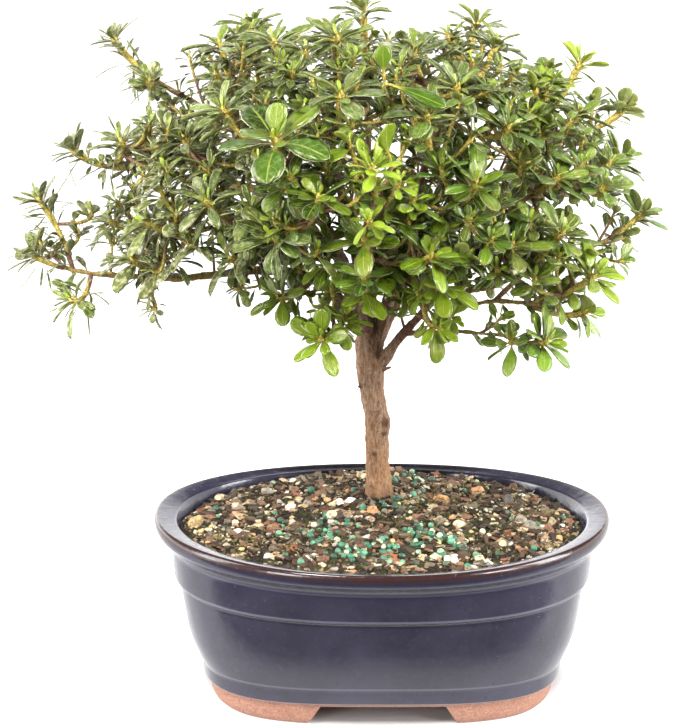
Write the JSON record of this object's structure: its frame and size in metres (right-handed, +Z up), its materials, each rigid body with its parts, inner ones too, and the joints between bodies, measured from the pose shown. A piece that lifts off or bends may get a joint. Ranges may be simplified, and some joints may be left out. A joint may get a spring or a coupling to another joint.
{
  "type": "satsuki azalea bonsai",
  "caption": "Small azalea tree with a bare trunk and a wide crown of leafy shoots, planted in an oval glazed pot on four cut feet that stands on a table or shelf.",
  "frame": {"origin": "centre of the bottom of the whole plant and pot's box, on the surface that the pot's feet stand on; the pot's own middle is 19.0 mm along +X and 12.1 mm along -Y from it", "axes": "+X along the pot's length, -Y towards the front from which the tree is seen, +Z up"},
  "size_m": [0.2882, 0.223, 0.3043],
  "materials": {
    "glaze": "gloss",
    "screen": "matte",
    "soil": "rough",
    "bark": "rough",
    "foliage": "satin"
  },
  "bodies": {
    "root": {"pot": "glaze", "drain_screen_left": "screen", "drain_screen_right": "screen", "soil": "soil", "trunk": "bark", "leafy_shoot_left_1": "foliage", "leafy_shoot_left_2": "foliage", "leafy_shoot_left_3": "foliage", "leafy_shoot_left_4": "foliage", "leafy_shoot_left_5": "foliage", "leafy_shoot_left_6": "foliage", "leafy_shoot_left_8": "foliage", "leafy_shoot_left_9": "foliage", "leafy_shoot_upper_left_1": "foliage", "leafy_shoot_upper_left_3": "foliage", "leafy_shoot_upper_left_4": "foliage", "leafy_shoot_upper_left_5": "foliage", "leafy_shoot_top_1": "foliage", "leafy_shoot_top_2": "foliage", "leafy_shoot_top_4": "foliage", "leafy_shoot_front_1": "foliage", "leafy_shoot_front_2": "foliage", "leafy_shoot_front_3": "foliage", "leafy_shoot_front_4": "foliage", "leafy_shoot_front_6": "foliage", "leafy_shoot_front_7": "foliage", "leafy_shoot_front_9": "foliage", "leafy_shoot_front_10": "foliage", "leafy_shoot_low_1": "foliage", "leafy_shoot_low_2": "foliage", "leafy_shoot_low_3": "foliage", "leafy_shoot_low_4": "foliage", "leafy_shoot_right_1": "foliage", "leafy_shoot_right_2": "foliage", "leafy_shoot_right_3": "foliage", "leafy_shoot_right_5": "foliage", "leafy_shoot_right_6": "foliage", "leafy_shoot_right_7": "foliage", "leafy_shoot_right_8": "foliage", "leafy_shoot_right_9": "foliage", "leafy_shoot_right_10": "foliage", "leafy_shoot_right_11": "foliage", "leafy_shoot_right_13": "foliage", "leafy_shoot_back_1": "foliage", "leafy_shoot_back_2": "foliage", "leafy_shoot_back_3": "foliage", "leafy_shoot_back_4": "foliage", "leafy_shoot_back_5": "foliage", "leafy_shoot_back_6": "foliage", "leafy_shoot_back_7": "foliage", "leafy_shoot_back_8": "foliage", "leafy_shoot_back_9": "foliage", "leafy_shoot_back_10": "foliage", "leafy_shoot_back_11": "foliage", "leafy_shoot_back_12": "foliage", "leafy_shoot_back_13": "foliage", "leafy_shoot_back_14": "foliage", "leafy_shoot_back_15": "foliage", "leafy_shoot_back_16": "foliage", "leafy_shoot_back_17": "foliage"}
  },
  "joints": []
}
